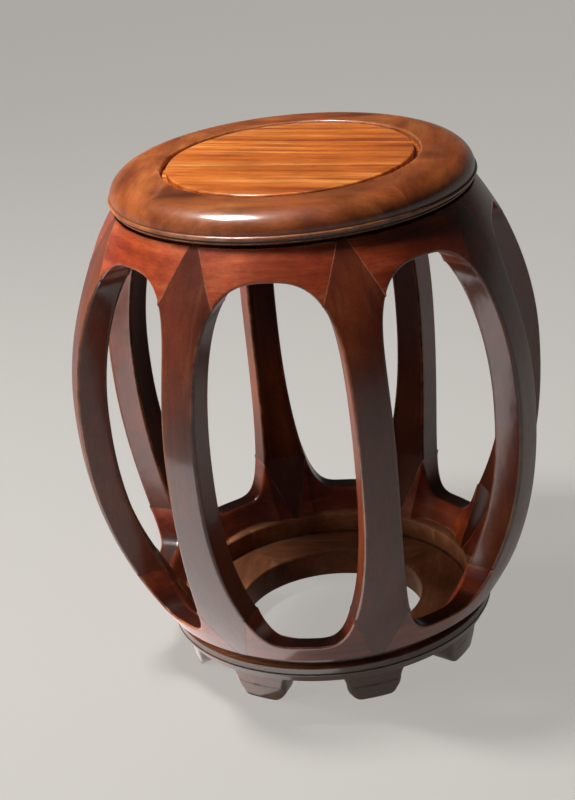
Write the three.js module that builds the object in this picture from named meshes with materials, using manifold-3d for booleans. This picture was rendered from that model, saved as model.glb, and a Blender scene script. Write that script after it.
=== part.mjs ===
import * as THREE from 'three';
import { mergeVertices } from 'three/addons/utils/BufferGeometryUtils.js';
import Module from 'manifold-3d';

// Round drum stool: eight bowed legs mitred into curved aprons, between a seat ring and a base ring.
// Millimetres, +Z up, origin on the floor under the centre. A window faces each of +X, -X, +Y and -Y.

const wasm = await Module();
wasm.setup();

// Heights of the stack, from the floor up
const footHeight = 29.2;
const baseRingHeight = 28.5;
const bodyHeight = 391.8;
const seatRingHeight = 29.6;
const jointGap = 0.3;

// Barrel of legs and aprons
const sideCount = 8;
const bellyRadius = 221.5;
const bellyRise = 207.7;
const bodyTopSetback = 2.2;
const bodyBottomOverhang = 7.7;
const topBulge = 2.1;
const bottomBulge = 2.27;
const legThickness = 28;
const apronThickness = 20;
const apronHollow = 4;
const edgeRound = 2.5;
const seamRound = 0.4;

// Windows between the legs
const legWaistWidth = 33;
const topApronDepth = 25.8;
const bottomApronDepth = 19.9;
const windowWidestRise = 203.7;
const topArch = { rise: 6.3, round: 2.7 };
const bottomArch = { rise: 2.8, round: 4.75 };

// Mitred joints between legs and aprons
const topShoulderDrop = 46;
const bottomShoulderRise = 53.7;
const legTipWidth = 9;
const apronHeel = 1.5;
const apronTenonLength = 8;
const apronTenonHeight = 16;
const apronTenonThickness = 8;
const apronTenonInset = 11;

// Tenons that hold the legs in the two rings
const legTenonLength = 12;
const legTenonWidth = 7;
const legTenonThickness = 8;
const tenonClearance = 0.3;

// Seat ring
const ringOuterRadius = 164.2;
const ringWidth = 48;
const ringLipRound = 2;
const bullnoseWidth = 16;
const bullnoseDepth = 14.8;
const bullnoseTuck = 3;
const bullnoseUndercut = 1.5;
const beadRadius = 3.3;
const ringSoleSetback = 11;
const ringSoleStep = 3.5;
const ringSegmentCount = 4;
const seamTenonLength = 12;
const seamTenonHeight = 10;
const seamTenonThickness = 14;

// Seat panel in its groove, and the batten under it
const panelReveal = 5.3;
const panelStep = 6;
const panelTongueThickness = 6.4;
const panelTongueReach = 6.8;
const panelEdgeRound = 1.5;
const battenWidth = 24;
const battenDepth = 12;
const battenHousing = 4;
const dovetailDepth = 4;
const dovetailNeck = 11;
const dovetailFlare = 2;
const battenTurn = THREE.MathUtils.degToRad(79.5);

// Base ring, measured inwards from its bead
const baseBeadRadius = 153.8;
const baseRingWidth = 66.8;
const baseTopSetback = 3.5;
const baseCoveSetback = 6.5;
const baseSoleSetback = 4;
const baseWallSetback = 21.5;
const baseRebateSetback = 37.8;
const baseCoveHeight = 12.3;
const baseLedgeDrop = 20.5;
const baseRimHeight = 26;
const baseEdgeRound = 2;

// Bracket feet under the legs
const footTopSetback = 8.8;
const footBottomSetback = 14;
const footFootprintWidth = 39.5;
const footBodyWidth = 53;
const footTopWidth = 62;
const footCornerHeight = 9;
const footFlareHeight = 8;
const pegSize = 10;
const pegLength = 8;

// Fineness of the curved faces
const legRows = 12;
const mitreRows = 3;
const archColumns = 5;
const turnSegments = 40;
const curveSteps = 4;
const smallCurveSteps = 2;
const footSteps = 3;
const arcShares = [-1, -0.5, 0, 0.5, 1];

const rosewood = { color: '#5e2414', roughness: 0.28, metalness: 0 };
const rosewoodLight = { color: '#7e3015', roughness: 0.3, metalness: 0 };
const panelWood = { color: '#a4531e', roughness: 0.3, metalness: 0 };

// Levels, radii and angles that follow from the sizes above
const ringBottom = footHeight + jointGap;
const ringTop = ringBottom + baseRingHeight;
const bodyBottom = ringTop + jointGap;
const bodyTop = bodyBottom + bodyHeight;
const seatBottom = bodyTop + jointGap;
const seatTop = seatBottom + seatRingHeight;
const bellyZ = bodyBottom + bellyRise;
const widestZ = bodyBottom + windowWidestRise;
const pitch = 2 * Math.PI / sideCount;
const quarter = 2 * Math.PI / ringSegmentCount;
const ringInnerRadius = ringOuterRadius - ringWidth;
const ringSoleRadius = ringOuterRadius - ringSoleSetback;
const bodyTopRadius = ringOuterRadius - bodyTopSetback;
const bodyBottomRadius = baseBeadRadius + bodyBottomOverhang;
const baseWallRadius = baseBeadRadius - baseWallSetback;
const baseCoveRadius = baseBeadRadius - baseCoveSetback;
const baseHoleRadius = baseBeadRadius - baseRingWidth;
const baseRebateRadius = baseBeadRadius - baseRebateSetback;
const footTopRadius = baseBeadRadius - footTopSetback;
const tongueTop = seatTop - panelStep;
const tongueBottom = tongueTop - panelTongueThickness;
const battenTop = tongueBottom - jointGap;
const battenReach = ringInnerRadius + panelTongueReach + battenHousing;

// The two ends of the barrel, with the leg's tenon in the middle of the wood that holds it
const topEnd = {
  edge: bodyTop,
  radius: bodyTopRadius,
  bulge: topBulge,
  shoulder: bodyTop - topShoulderDrop,
  crown: bodyTop - topApronDepth,
  arch: topArch,
  tenonRadius: (bodyTopRadius - legThickness + ringSoleRadius) / 2,
};
const bottomEnd = {
  edge: bodyBottom,
  radius: bodyBottomRadius,
  bulge: bottomBulge,
  shoulder: bodyBottom + bottomShoulderRise,
  crown: bodyBottom + bottomApronDepth,
  arch: bottomArch,
  tenonRadius: (baseWallRadius + baseCoveRadius) / 2,
};

// Outline of the barrel: its outer radius at a height
function bodyRadius(z) {
  const end = z > bellyZ ? topEnd : bottomEnd;
  const share = Math.abs((z - bellyZ) / (end.edge - bellyZ));
  return bellyRadius - (bellyRadius - end.radius) * share ** end.bulge;
}

// Widest half angle that a window could have at a height, with only the leg's waist left beside it
function windowRoom(z) {
  return pitch / 2 - legWaistWidth / 2 / bodyRadius(z);
}

// Half angle of a window at a height: an egg, with its own curve above and below its widest place
function windowHalfAngle(z) {
  const end = z > widestZ ? topEnd : bottomEnd;
  const share = Math.abs((z - widestZ) / (end.crown - widestZ));
  return windowRoom(z) * (1 - share ** end.arch.rise) ** (1 / end.arch.round);
}

// The same outline as a curve, from the widest place (0) to the crown (1)
function windowPoint(end, share) {
  const turn = share * Math.PI / 2;
  const z = widestZ + (end.crown - widestZ) * Math.sin(turn) ** (2 / end.arch.rise);
  const angle = windowRoom(z) * Math.max(Math.cos(turn), 0) ** (2 / end.arch.round);
  return { angle, z };
}

// Place on that curve of the shoulder, where the mitre meets the window
function shoulderShare(end) {
  const share = Math.abs((end.shoulder - widestZ) / (end.crown - widestZ));
  return Math.asin(share ** (end.arch.rise / 2)) / (Math.PI / 2);
}

// Half angle of a leg in its mitre: a straight taper from the shoulder to the tip
function mitreHalfAngle(end, z) {
  const shoulderHalf = (pitch / 2 - windowHalfAngle(end.shoulder)) * bodyRadius(end.shoulder);
  const share = (z - end.shoulder) / (end.edge - end.shoulder);
  return THREE.MathUtils.lerp(shoulderHalf, legTipWidth / 2, share) / bodyRadius(z);
}

// Heights in the mitre that legs and aprons share, from the shoulder to the apron's heel
function mitreLevels(end) {
  const heel = end.edge + Math.sign(end.shoulder - end.edge) * apronHeel;
  const levels = [];
  for (let i = 0; i <= mitreRows; i += 1) {
    levels.push(THREE.MathUtils.lerp(end.shoulder, heel, i / mitreRows));
  }
  return levels;
}

function polar(radius, angle, z) {
  return new THREE.Vector3(radius * Math.cos(angle), radius * Math.sin(angle), z);
}

// Skin through a row of sections with as many points each, closed by a flat cap at both ends
function loft(sections, capOutline) {
  const count = sections[0].length;
  const points = sections.flat();
  const faces = [];
  for (let row = 0; row + 1 < sections.length; row += 1) {
    for (let i = 0; i < count; i += 1) {
      const next = (i + 1) % count;
      const [a, b] = [row * count + i, row * count + next];
      faces.push(a, b, b + count, a, b + count, a + count);
    }
  }
  const last = (sections.length - 1) * count;
  const clockwise = THREE.ShapeUtils.isClockWise(capOutline);
  for (const face of THREE.ShapeUtils.triangulateShape(capOutline, [])) {
    const [a, b, c] = clockwise ? face.reverse() : face;
    faces.push(c, b, a, last + a, last + b, last + c);
  }
  const geometry = new THREE.BufferGeometry().setFromPoints(points);
  geometry.setIndex(faces);
  return geometry;
}

// Solid from a closed geometry, turned the right way out
function toSolid(geometry) {
  const bare = geometry.clone();
  bare.deleteAttribute('normal');
  bare.deleteAttribute('uv');
  const merged = mergeVertices(bare, jointGap / 1000);
  const corners = merged.index.array;
  const kept = [];
  for (let i = 0; i < corners.length; i += 3) {
    const [a, b, c] = corners.slice(i, i + 3);
    if (a !== b && b !== c && c !== a) kept.push(a, b, c);
  }
  const mesh = { numProp: 3, vertProperties: new Float32Array(merged.attributes.position.array) };
  const solid = new wasm.Manifold(new wasm.Mesh({ ...mesh, triVerts: new Uint32Array(kept) }));
  if (solid.volume() > 0) return solid;
  return new wasm.Manifold(new wasm.Mesh({ ...mesh, triVerts: new Uint32Array(kept.reverse()) }));
}

function toGeometry(solid) {
  const { vertProperties, triVerts } = solid.getMesh();
  const geometry = new THREE.BufferGeometry();
  geometry.setAttribute('position', new THREE.BufferAttribute(vertProperties, 3));
  geometry.setIndex(new THREE.BufferAttribute(triVerts, 1));
  const faceted = geometry.toNonIndexed();
  faceted.computeVertexNormals();
  return faceted;
}

// Square block in a radial frame: sizes along the radius, across it and upwards
function block(size, radius, angle, z, grow = 0) {
  const [along, across, up] = size.map((length) => length + 2 * grow);
  return toSolid(new THREE.BoxGeometry(along, across, up).translate(radius, 0, z).rotateZ(angle));
}

function joinAll(solid, others) {
  return others.reduce((whole, other) => whole.add(other), solid);
}

function cutAll(solid, others) {
  return others.reduce((whole, other) => whole.subtract(other), solid);
}

// Tenon of an apron in the side of a leg, seen from the leg's or the apron's own middle
function apronTenon(end, angle, grow = 0) {
  const z = (end.shoulder + end.edge) / 2;
  const size = [apronTenonThickness, 2 * apronTenonLength, apronTenonHeight];
  return block(size, bodyRadius(z) - apronTenonInset, angle, z, grow);
}

function apronTenonAngle(end) {
  return mitreHalfAngle(end, (end.shoulder + end.edge) / 2);
}

// Tenon on the end of a leg: half of the block stays in the leg, as its root
function legTenon(end, grow = 0) {
  const size = [legTenonThickness, legTenonWidth, 2 * legTenonLength];
  return block(size, end.tenonRadius, 0, end.edge, grow);
}

// Section of a leg, outer face first, with its long edges eased
function legSection(z, half, ease) {
  const outer = bodyRadius(z);
  const inner = outer - legThickness;
  const profile = [
    [outer, -half + ease / outer],
    [outer, 0],
    [outer, half - ease / outer],
    [outer - ease, half],
    [inner + ease, half],
    [inner, half - ease / inner],
    [inner, -half + ease / inner],
    [inner + ease, -half],
    [outer - ease, -half],
  ];
  return profile.map(([radius, angle]) => polar(radius, angle, z));
}

function makeLeg() {
  const sections = [legSection(bottomEnd.edge, mitreHalfAngle(bottomEnd, bottomEnd.edge), seamRound)];
  for (const z of mitreLevels(bottomEnd).reverse()) {
    sections.push(legSection(z, mitreHalfAngle(bottomEnd, z), seamRound));
  }
  // Rows lie closer together near the shoulders, where the window turns most
  for (let i = 1; i < legRows; i += 1) {
    const share = (1 - Math.cos(Math.PI * i / legRows)) / 2;
    const z = THREE.MathUtils.lerp(bottomEnd.shoulder, topEnd.shoulder, share);
    sections.push(legSection(z, pitch / 2 - windowHalfAngle(z), edgeRound));
  }
  for (const z of mitreLevels(topEnd)) {
    sections.push(legSection(z, mitreHalfAngle(topEnd, z), seamRound));
  }
  sections.push(legSection(topEnd.edge, mitreHalfAngle(topEnd, topEnd.edge), seamRound));
  const outline = sections[0].map((point) => new THREE.Vector2(point.x, point.y));
  const body = toSolid(loft(sections, outline));
  const mortises = [topEnd, bottomEnd].flatMap((end) => [
    apronTenon(end, apronTenonAngle(end), tenonClearance),
    apronTenon(end, -apronTenonAngle(end), tenonClearance),
  ]);
  return joinAll(cutAll(body, mortises), [legTenon(topEnd), legTenon(bottomEnd)]);
}

// Thickness of an apron at an angle: hollowed behind its crown, and flush with the legs at the shoulders
function apronThicknessAt(end, angle) {
  const share = Math.min(Math.abs(angle) / windowHalfAngle(end.shoulder), 1);
  return THREE.MathUtils.lerp(apronThickness, legThickness, share ** apronHollow);
}

// Upright section of an apron at one angle, from the ring's side to the window's edge and back
function apronSection(end, angle, z, ease) {
  const toWindow = Math.sign(end.crown - end.edge);
  const thickness = apronThicknessAt(end, angle);
  const eased = Math.min(ease, Math.abs(z - end.edge) / 4);
  const levels = [end.edge, (end.edge + z) / 2, z - toWindow * eased];
  const outer = levels.map((level) => [bodyRadius(level), level]);
  const inner = levels.map((level) => [bodyRadius(level) - thickness, level]).reverse();
  const edge = [[bodyRadius(z) - eased, z], [bodyRadius(z) - thickness + eased, z]];
  return [...outer, ...edge, ...inner].map(([radius, level]) => polar(radius, angle, level));
}

function makeApron(end) {
  const gapAngle = jointGap / (bodyRadius(end.edge) - legThickness);
  const half = [];
  for (const z of mitreLevels(end).reverse()) {
    half.push({ angle: pitch / 2 - mitreHalfAngle(end, z) - gapAngle, z, ease: seamRound });
  }
  const start = shoulderShare(end);
  for (let i = 1; i <= archColumns; i += 1) {
    half.push({ ...windowPoint(end, THREE.MathUtils.lerp(start, 1, i / archColumns)), ease: edgeRound });
  }
  const mirrored = half.slice(0, -1).reverse().map((column) => ({ ...column, angle: -column.angle }));
  const columns = [...half, ...mirrored];
  // Run so that the mitre faces are split along the same diagonals as the leg's
  if (end.edge < end.crown) columns.reverse();
  const sections = columns.map(({ angle, z, ease }) => apronSection(end, angle, z, ease));
  const outline = sections[0].map((point) => new THREE.Vector2(Math.hypot(point.x, point.y), point.z));
  const side = pitch / 2 - apronTenonAngle(end);
  return joinAll(toSolid(loft(sections, outline)), [apronTenon(end, side), apronTenon(end, -side)]);
}

// Full turn of a closed profile of radius and height
function revolve(profile) {
  const points = profile.map(([radius, z]) => new THREE.Vector2(radius, z));
  points.push(points[0].clone());
  return toSolid(new THREE.LatheGeometry(points, turnSegments).rotateX(Math.PI / 2));
}

// Points of a quarter of an ellipse between two directions given in quarter turns
function arc(centreRadius, centreZ, width, height, from, to, steps) {
  const points = [];
  for (let i = 0; i <= steps; i += 1) {
    const turn = THREE.MathUtils.lerp(from, to, i / steps) * Math.PI / 2;
    points.push([centreRadius + width * Math.cos(turn), centreZ + height * Math.sin(turn)]);
  }
  return points;
}

// One segment of a ring: a quarter of the turn, with a tenon at its start and a mortise at its end
function segment(ring, reach, tenonRadius, tenonZ) {
  const wedge = new THREE.BoxGeometry(reach, reach, 2 * seatTop);
  wedge.translate((reach + jointGap) / 2, (reach + jointGap) / 2, 0);
  const size = [seamTenonThickness, 2 * seamTenonLength, seamTenonHeight];
  const tenon = block(size, tenonRadius, 0, tenonZ);
  const mortise = block(size, tenonRadius, quarter, tenonZ, tenonClearance);
  return ring.intersect(toSolid(wedge)).subtract(mortise).add(tenon);
}

// Azimuths of the two legs over one ring segment, from the segment's start
const legTurns = [pitch / 2, 3 * pitch / 2];

function seatRingProfile() {
  const beadTop = seatTop - bullnoseDepth - bullnoseTuck;
  const beadZ = beadTop - beadRadius;
  const slotTop = tongueTop + jointGap;
  const slotBottom = tongueBottom - jointGap;
  const slotRadius = ringInnerRadius + panelTongueReach + jointGap;
  const bead = [ringOuterRadius - bullnoseUndercut, beadZ, beadRadius, beadRadius];
  const nose = [ringOuterRadius - bullnoseWidth, seatTop - bullnoseDepth, bullnoseWidth, bullnoseDepth];
  const lip = [ringInnerRadius + ringLipRound, seatTop - ringLipRound, ringLipRound, ringLipRound];
  return [
    [ringInnerRadius, seatBottom],
    [ringSoleRadius, seatBottom],
    [ringSoleRadius, seatBottom + ringSoleStep],
    ...arc(...bead, -1, 1, smallCurveSteps),
    ...arc(...nose, 0, 1, curveSteps),
    ...arc(...lip, 1, 2, smallCurveSteps),
    [ringInnerRadius, slotTop],
    [slotRadius, slotTop],
    [slotRadius, slotBottom],
    [ringInnerRadius, slotBottom],
  ];
}

function baseRingProfile() {
  const coveBottom = ringTop - baseCoveHeight;
  const ledgeZ = ringTop - baseLedgeDrop;
  const rimBottom = ledgeZ - baseRimHeight;
  const beadMiddle = (coveBottom + ringBottom) / 2;
  const soleRadius = baseBeadRadius - baseSoleSetback;
  return [
    [baseRebateRadius, ringBottom],
    [soleRadius - baseEdgeRound, ringBottom],
    [soleRadius, ringBottom + baseEdgeRound],
    [baseBeadRadius, beadMiddle],
    [baseBeadRadius, coveBottom - baseEdgeRound],
    [baseBeadRadius - baseEdgeRound, coveBottom],
    [baseCoveRadius, coveBottom + baseEdgeRound],
    [baseCoveRadius, ringTop - baseEdgeRound],
    [baseBeadRadius - baseTopSetback, ringTop],
    [baseWallRadius, ringTop],
    [baseWallRadius, ledgeZ],
    [baseHoleRadius + baseEdgeRound, ledgeZ],
    [baseHoleRadius, ledgeZ - baseEdgeRound],
    [baseHoleRadius, rimBottom + baseEdgeRound],
    [baseHoleRadius + baseEdgeRound, rimBottom],
    [baseRebateRadius, rimBottom],
  ];
}

function battenSection(grow) {
  const shape = new THREE.Shape();
  const half = battenWidth / 2 + grow;
  const neck = dovetailNeck / 2 + grow;
  const flare = neck + dovetailFlare;
  const bottom = battenTop - battenDepth - grow;
  const top = tongueBottom + dovetailDepth + grow;
  const outline = [[-half, bottom], [half, bottom], [half, battenTop], [neck, battenTop], [flare, top]];
  outline.push([-flare, top], [-neck, battenTop], [-half, battenTop]);
  shape.setFromPoints(outline.map(([x, y]) => new THREE.Vector2(x, y)));
  return shape;
}

// Batten across the grain of the panel, with a dovetail along its top
function battenSolid(grow) {
  const length = 2 * (battenReach + grow);
  const bar = new THREE.ExtrudeGeometry(battenSection(grow), { depth: length, bevelEnabled: false });
  bar.translate(0, 0, -length / 2).rotateX(Math.PI / 2).rotateZ(battenTurn - Math.PI / 2);
  return toSolid(bar);
}

function makeSeatRing() {
  const tenonRadius = (ringInnerRadius + panelTongueReach + ringSoleRadius) / 2;
  const tenonZ = (seatBottom + tongueBottom) / 2;
  const plain = segment(revolve(seatRingProfile()), 2 * ringOuterRadius, tenonRadius, tenonZ);
  const mortise = legTenon(topEnd, tenonClearance);
  return cutAll(plain, legTurns.map((turn) => mortise.rotate([0, 0, degrees(turn)])));
}

function degrees(angle) {
  return THREE.MathUtils.radToDeg(angle);
}

function footPeg(grow = 0) {
  const radius = (baseRebateRadius + footTopRadius) / 2;
  return block([pegSize, pegSize, 2 * pegLength], radius, 0, footHeight, grow);
}

function makeBaseRing() {
  const tenonRadius = (baseHoleRadius + baseRebateRadius) / 2 + baseEdgeRound;
  const tenonZ = ringTop - baseLedgeDrop - baseRimHeight / 2;
  const plain = segment(revolve(baseRingProfile()), 2 * baseBeadRadius, tenonRadius, tenonZ);
  const mortises = legTurns.flatMap((turn) => [
    legTenon(bottomEnd, tenonClearance).rotate([0, 0, degrees(turn)]),
    footPeg(tenonClearance).rotate([0, 0, degrees(turn)]),
  ]);
  return cutAll(plain, mortises);
}

function makePanel() {
  const fieldRadius = ringInnerRadius - panelReveal;
  const tongueRadius = ringInnerRadius + panelTongueReach;
  const disc = revolve([
    [0, tongueBottom],
    [tongueRadius, tongueBottom],
    [tongueRadius, tongueTop],
    [fieldRadius, tongueTop],
    [fieldRadius, seatTop - panelEdgeRound],
    [fieldRadius - panelEdgeRound, seatTop],
    [0, seatTop],
  ]);
  return disc.subtract(battenSolid(tenonClearance));
}

// Half width of a foot at a height: a round bottom corner, a straight side and a small flare on top
function footHalfWidth(z) {
  if (z < footCornerHeight) {
    const share = Math.sqrt(1 - (1 - z / footCornerHeight) ** 2);
    return THREE.MathUtils.lerp(footFootprintWidth, footBodyWidth, share) / 2;
  }
  const flareStart = footHeight - footFlareHeight;
  const share = Math.max(z - flareStart, 0) / footFlareHeight;
  return THREE.MathUtils.lerp(footBodyWidth, footTopWidth, share ** 2) / 2;
}

function footSection(z) {
  const setback = THREE.MathUtils.lerp(footBottomSetback, footTopSetback, z / footHeight);
  const outer = baseBeadRadius - setback;
  const inner = baseRebateRadius + jointGap;
  const half = footHalfWidth(z) / outer;
  const outerArc = arcShares.map((share) => polar(outer, share * half, z));
  const innerArc = arcShares.map((share) => polar(inner, -share * half, z));
  return [...outerArc, ...innerArc];
}

function makeFoot() {
  const levels = [];
  for (let i = 0; i <= footSteps; i += 1) {
    levels.push(footCornerHeight * (1 - Math.cos(i / footSteps * Math.PI / 2)));
  }
  for (let i = 0; i <= footSteps; i += 1) {
    levels.push(footHeight - footFlareHeight * (1 - i / footSteps));
  }
  const sections = levels.map(footSection);
  const outline = sections[0].map((point) => new THREE.Vector2(point.x, point.y));
  return toSolid(loft(sections, outline)).add(footPeg());
}

const stool = new THREE.Group();

function place(name, geometry, finish, turn = 0) {
  const mesh = new THREE.Mesh(geometry, new THREE.MeshStandardMaterial(finish));
  mesh.name = name;
  mesh.rotation.z = turn;
  stool.add(mesh);
}

// Copies of a piece round the stool, from a first azimuth
function placeRound(name, solid, finish, count, first) {
  const geometry = toGeometry(solid);
  for (let i = 0; i < count; i += 1) {
    place(`${name}_${i + 1}`, geometry, finish, first + i * 2 * Math.PI / count);
  }
}

placeRound('leg', makeLeg(), rosewood, sideCount, pitch / 2);
placeRound('top_apron', makeApron(topEnd), rosewoodLight, sideCount, 0);
placeRound('bottom_apron', makeApron(bottomEnd), rosewoodLight, sideCount, 0);
placeRound('foot', makeFoot(), rosewood, sideCount, pitch / 2);
placeRound('base_ring', makeBaseRing(), rosewood, ringSegmentCount, pitch);

// The batten is housed in two of the seat ring's segments
const seatSegment = makeSeatRing();
for (let i = 0; i < ringSegmentCount; i += 1) {
  const turn = pitch + i * quarter;
  const housing = battenSolid(tenonClearance).rotate([0, 0, -degrees(turn)]);
  place(`seat_ring_${i + 1}`, toGeometry(seatSegment.subtract(housing)), rosewood, turn);
}
place('panel_batten', toGeometry(battenSolid(0)), rosewood);
place('seat_panel', toGeometry(makePanel()), panelWood);

export default stool;
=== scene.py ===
import math

import bpy
import numpy as np
from mathutils import Matrix, Vector


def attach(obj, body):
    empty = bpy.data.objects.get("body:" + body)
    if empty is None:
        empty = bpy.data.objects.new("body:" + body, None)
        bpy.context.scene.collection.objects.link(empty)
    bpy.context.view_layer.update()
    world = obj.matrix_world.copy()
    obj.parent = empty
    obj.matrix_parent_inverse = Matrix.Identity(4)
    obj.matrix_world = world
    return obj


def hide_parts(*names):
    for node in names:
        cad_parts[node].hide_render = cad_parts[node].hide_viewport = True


# A round drum stool of lacquered rosewood: eight bowed legs mitred into curved aprons, between a seat
# ring with a framed panel and a base ring on bracket feet. Metres, +Z up, origin on the floor.
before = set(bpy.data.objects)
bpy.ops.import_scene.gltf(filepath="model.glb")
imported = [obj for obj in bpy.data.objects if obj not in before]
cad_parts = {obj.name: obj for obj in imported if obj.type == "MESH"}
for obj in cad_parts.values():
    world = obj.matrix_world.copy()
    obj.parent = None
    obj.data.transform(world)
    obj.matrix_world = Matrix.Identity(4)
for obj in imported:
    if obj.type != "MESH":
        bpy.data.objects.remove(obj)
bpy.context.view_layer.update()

# Heights of the stack, from the floor up
FOOT_HEIGHT = 0.0292
BASE_RING_HEIGHT = 0.0285
BODY_HEIGHT = 0.3918
SEAT_RING_HEIGHT = 0.0296
JOINT_GAP = 0.0003

# Barrel of legs and aprons. A bulge is the exponent of its curve from the belly to an end
SIDE_COUNT = 8
BELLY_RADIUS = 0.2214
BELLY_RISE = 0.2077
BODY_TOP_SETBACK = 0.0022
BODY_BOTTOM_OVERHANG = 0.0077
TOP_BULGE = 2.1
BOTTOM_BULGE = 2.27
LEG_THICKNESS = 0.028
APRON_THICKNESS = 0.020
APRON_HOLLOW = 4
EDGE_ROUND = 0.0028
SEAM_ROUND = 0.0005
SEAM_FADE = 0.0015
SEAM_GAP = 0.00002
STEEPEST_EASE = 2.5
LEAST_RUN = 0.00003
WINDOW_EASE_SHARE = 1 / 3
RING_EASE_SHARE = 1 / 4

# Windows between the legs. An arch has the two exponents of a superellipse
LEG_WAIST_WIDTH = 0.033
TOP_APRON_DEPTH = 0.0258
BOTTOM_APRON_DEPTH = 0.0199
WINDOW_WIDEST_RISE = 0.2037
TOP_ARCH = {"rise": 6.3, "round": 2.7}
BOTTOM_ARCH = {"rise": 2.8, "round": 4.75}

# Mitred joints between legs and aprons
TOP_SHOULDER_DROP = 0.046
BOTTOM_SHOULDER_RISE = 0.0537
LEG_TIP_WIDTH = 0.009
APRON_HEEL = 0.0015

# Seat ring
RING_OUTER_RADIUS = 0.1642
RING_WIDTH = 0.048
RING_LIP_ROUND = 0.002
BULLNOSE_SETBACK = 0.0008
BULLNOSE_WIDTH = 0.023
BULLNOSE_DEPTH = 0.0193
BEAD_OVERHANG = 0.001
BEAD_RADIUS = 0.0021
BEAD_TOP_TURN = 0.9
STRING_RADIUS = 0.0007
STRING_SETBACK = 0.0018
STRING_DROP = 0.0067
RING_FILLET_SETBACK = 0.003
RING_FILLET_HEIGHT = 0.0016
RING_SOLE_SETBACK = 0.011
RING_SEGMENT_COUNT = 4

# Seat panel in its groove, and the batten under it
PANEL_REVEAL = 0.0053
PANEL_STEP = 0.006
PANEL_TONGUE_THICKNESS = 0.0064
PANEL_TONGUE_REACH = 0.0068
PANEL_EDGE_ROUND = 0.0018
PANEL_GRAIN_TURN = math.radians(-10.5)
BATTEN_WIDTH = 0.024
BATTEN_DEPTH = 0.012
BATTEN_HOUSING = 0.004
BATTEN_ROUND = 0.0015

# Base ring, measured inwards from its bead
BASE_BEAD_RADIUS = 0.1538
BASE_RING_WIDTH = 0.0668
BASE_TOP_SETBACK = 0.0035
BASE_COVE_SETBACK = 0.0065
BASE_SOLE_SETBACK = 0.004
BASE_WALL_SETBACK = 0.0215
BASE_REBATE_SETBACK = 0.0378
BASE_COVE_HEIGHT = 0.0123
BASE_LEDGE_DROP = 0.0205
BASE_RIM_HEIGHT = 0.026
BASE_EDGE_ROUND = 0.002
BASE_BAND_SETBACK = 0.0007
BASE_STRING_RADIUS = 0.0012
BASE_STRING_SINK = 0.0004
BASE_STRING_ROOM = 0.00168
BASE_STRING_TURN = 0.7

# Bracket feet under the legs
FOOT_TOP_SETBACK = 0.0088
FOOT_BOTTOM_SETBACK = 0.014
FOOT_FOOTPRINT_WIDTH = 0.026
FOOT_BODY_WIDTH = 0.054
FOOT_TOP_WIDTH = 0.066
FOOT_CORNER_HEIGHT = 0.016
FOOT_FLARE_HEIGHT = 0.015
FOOT_EDGE_ROUND = 0.005

# Fineness of the meshes
LEG_ROWS = 96
MITRE_ROWS = 16
APRON_COLUMNS = 40
FACE_STEPS = 12
SIDE_STEPS = 8
ROUND_STEPS = 6
FINE_ROUND_STEPS = 14
TURN_STEPS = 72
PANEL_TURN_STEPS = 256
FOOT_ROWS = 14
SEAM_COLUMN_SHARES = (0, 0.05, 0.3)
SHARP_ANGLE = math.radians(50)

# Marks of pale edges, partly abrasion and partly a painted highlight, and of dark hollows, partly dirt and
# partly painted shade, by how much the surface bends in a metre
EDGE_BENDS = (45, 500)
HOLLOW_BENDS = (30, 200)
SHORTEST_EDGE = 0.000001

# Satin faces, and marks of painted shade on inner faces and sills and of painted light on the windows'
# sides, by how far a surface looks outwards and how far it looks up
SATIN_FACING = -0.4
SATIN_SLOPE = 0.4
INNER_SHADE = 0.7
SILL_SHADE = 1.5
JAMB_SHADE = -0.45
SIDEWAYS_FADE = 2
UPRIGHT_FADE = 3

# Random places of the pieces in the timber
GRAIN_SPREAD = 4
SEED = 11

# Number of details in a metre, either in all directions or along, across and through the grain
WANDER_SCALE = (3, 12, 12)
FIBRE_SCALE = (18, 900, 900)
PORE_SCALE = (70, 1500, 1500)
VEIN_CROWDING = 2.5
CLOUD_SCALE = 16
PATCH_SCALE = 60
POLISH_SCALE = 45

# Values of the noise between which each detail fades in
CLOUD_RANGE = (0.3, 0.7)
VEIN_RANGE = (0.56, 0.70)
FLECK_RANGE = (0.40, 0.30)
FIBRE_RANGE = (0.35, 0.75)
PORE_RANGE = (0.6, 0.72)
# The pale edges' abrasion and painted highlight, and the hollows' dirt and painted shade, fade in between
# these
WEAR_AND_HIGHLIGHT_PATCH_RANGE = (0.38, 0.62)
WEAR_AND_HIGHLIGHT_CLOUD_RANGE = (0.38, 0.55)
DIRT_AND_SHADE_RANGE = (0.3, 0.6)

# Colour and lacquer of the timber
DARK_COLOUR = "#280b04"
# Colour of the dirt and painted shade in hollows
DIRT_AND_SHADE_COLOUR = "#1c0c07"
FIBRE_STRENGTH = 0.30
PORE_STRENGTH = 0.45
PORE_DEPTH = -1.5
# Strengths of the pale edges' abrasion and painted highlight, of the hollows' dirt and painted shade, and of
# the painted shade and light on inner faces, sills and the windows' sides
WEAR_AND_HIGHLIGHT_PATCH_STRENGTH = (0.15, 1)
WEAR_AND_HIGHLIGHT_CLOUD_SHARE = 0.3
DIRT_AND_SHADE_STRENGTH = (0.4, 0.9)
SHADE_DEPTH = 0.86
WOOD_ROUGHNESS = (0.34, 0.52)
COAT_ROUGHNESS = 0.14
COAT_IOR = 2.6
POLISHED = {"Coat Weight": 0.28, "Specular IOR Level": 0.15}
SATIN = {"Coat Weight": 0.0, "Specular IOR Level": 0.1}

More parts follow.
